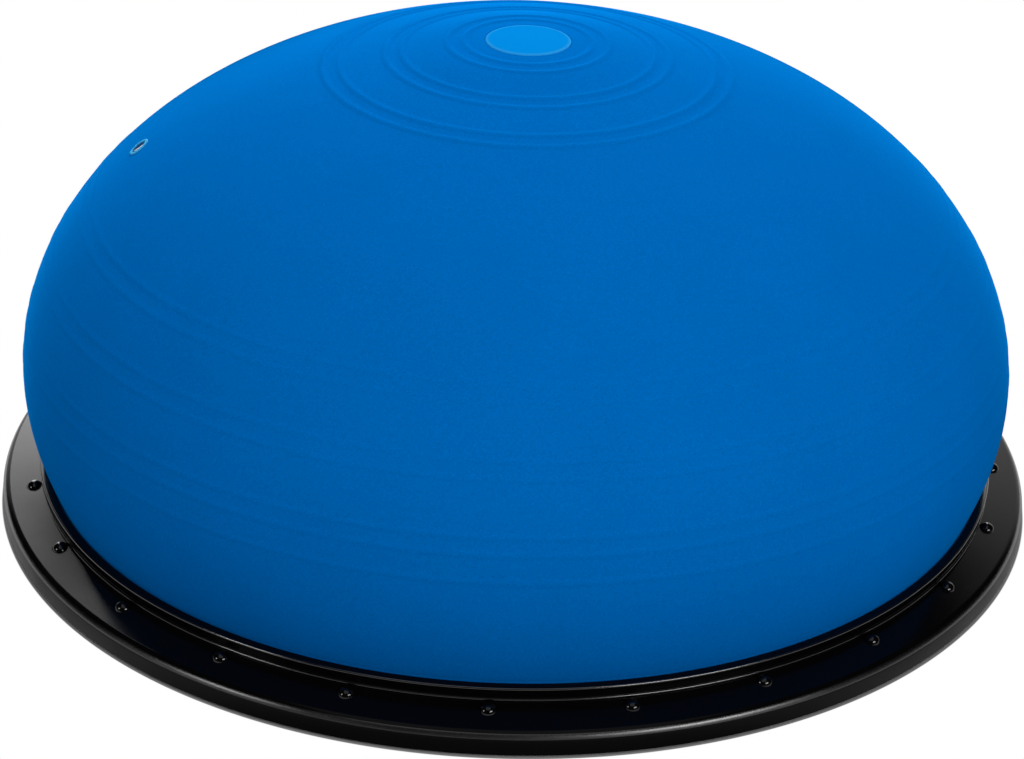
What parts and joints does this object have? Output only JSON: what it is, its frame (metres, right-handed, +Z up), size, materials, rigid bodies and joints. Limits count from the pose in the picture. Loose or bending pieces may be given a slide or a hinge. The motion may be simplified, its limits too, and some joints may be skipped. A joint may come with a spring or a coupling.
{
  "type": "trampoline balance ball",
  "caption": "Half-dome balance trainer: an inflated ball clamped in a riveted base ring, with a springy top to stand or step on and an air valve with a pull-out stopper.",
  "frame": {"origin": "on the floor, under the middle of the dome, between the feet", "axes": "+Z up along the ball's axis of revolution; -Y is the side nearest the camera in the picture, +X is the picture's right; the air valve is on the -X side"},
  "size_m": [0.52, 0.52, 0.2343],
  "materials": {
    "ring_plastic": "satin",
    "plate_plastic": "matte",
    "rivet_nylon": "gloss",
    "foot_rubber": "matte",
    "ball_vinyl": "matte",
    "disc_vinyl": "satin",
    "valve_vinyl": "satin",
    "stopper_vinyl": "satin"
  },
  "bodies": {
    "base": {"clamp_ring": "ring_plastic", "base_plate": "plate_plastic", "lower_shell": "ball_vinyl", "rivet_01": "rivet_nylon", "rivet_02": "rivet_nylon", "rivet_03": "rivet_nylon", "rivet_04": "rivet_nylon", "rivet_05": "rivet_nylon", "rivet_06": "rivet_nylon", "rivet_07": "rivet_nylon", "rivet_08": "rivet_nylon", "rivet_09": "rivet_nylon", "rivet_10": "rivet_nylon", "rivet_11": "rivet_nylon", "rivet_12": "rivet_nylon", "rivet_13": "rivet_nylon", "rivet_14": "rivet_nylon", "rivet_15": "rivet_nylon", "rivet_16": "rivet_nylon", "rivet_17": "rivet_nylon", "rivet_18": "rivet_nylon", "rivet_19": "rivet_nylon", "rivet_20": "rivet_nylon", "rivet_21": "rivet_nylon", "rivet_22": "rivet_nylon", "rivet_23": "rivet_nylon", "rivet_24": "rivet_nylon", "foot_1": "foot_rubber", "foot_2": "foot_rubber", "foot_3": "foot_rubber", "foot_4": "foot_rubber", "foot_5": "foot_rubber", "foot_6": "foot_rubber", "foot_7": "foot_rubber", "foot_8": "foot_rubber"},
    "dome": {"upper_shell": "ball_vinyl", "crown_disc": "disc_vinyl"},
    "valve": {"valve_seat": "valve_vinyl"},
    "stopper": {"valve_stopper": "stopper_vinyl"}
  },
  "joints": [
    {"name": "dome_press", "type": "slide", "parent": "base", "child": "dome", "axis": [0, 0, -1], "range_m": [0, 0.07], "stiffness_N_per_m": 11000, "springref_m": -0.006, "deforming": ["upper_shell", "lower_shell"]},
    {"name": "valve_follow", "type": "slide", "parent": "base", "child": "valve", "axis": [0, 0, -1], "range_m": [0, 0.058]},
    {"name": "stopper_pull", "type": "slide", "parent": "valve", "child": "stopper", "axis": [-0.6092, -0.048, 0.7916], "range_m": [0, 0.014]}
  ],
  "couplings": [
    {"joint": "valve_follow", "follows": "dome_press", "ratio": 0.82}
  ]
}
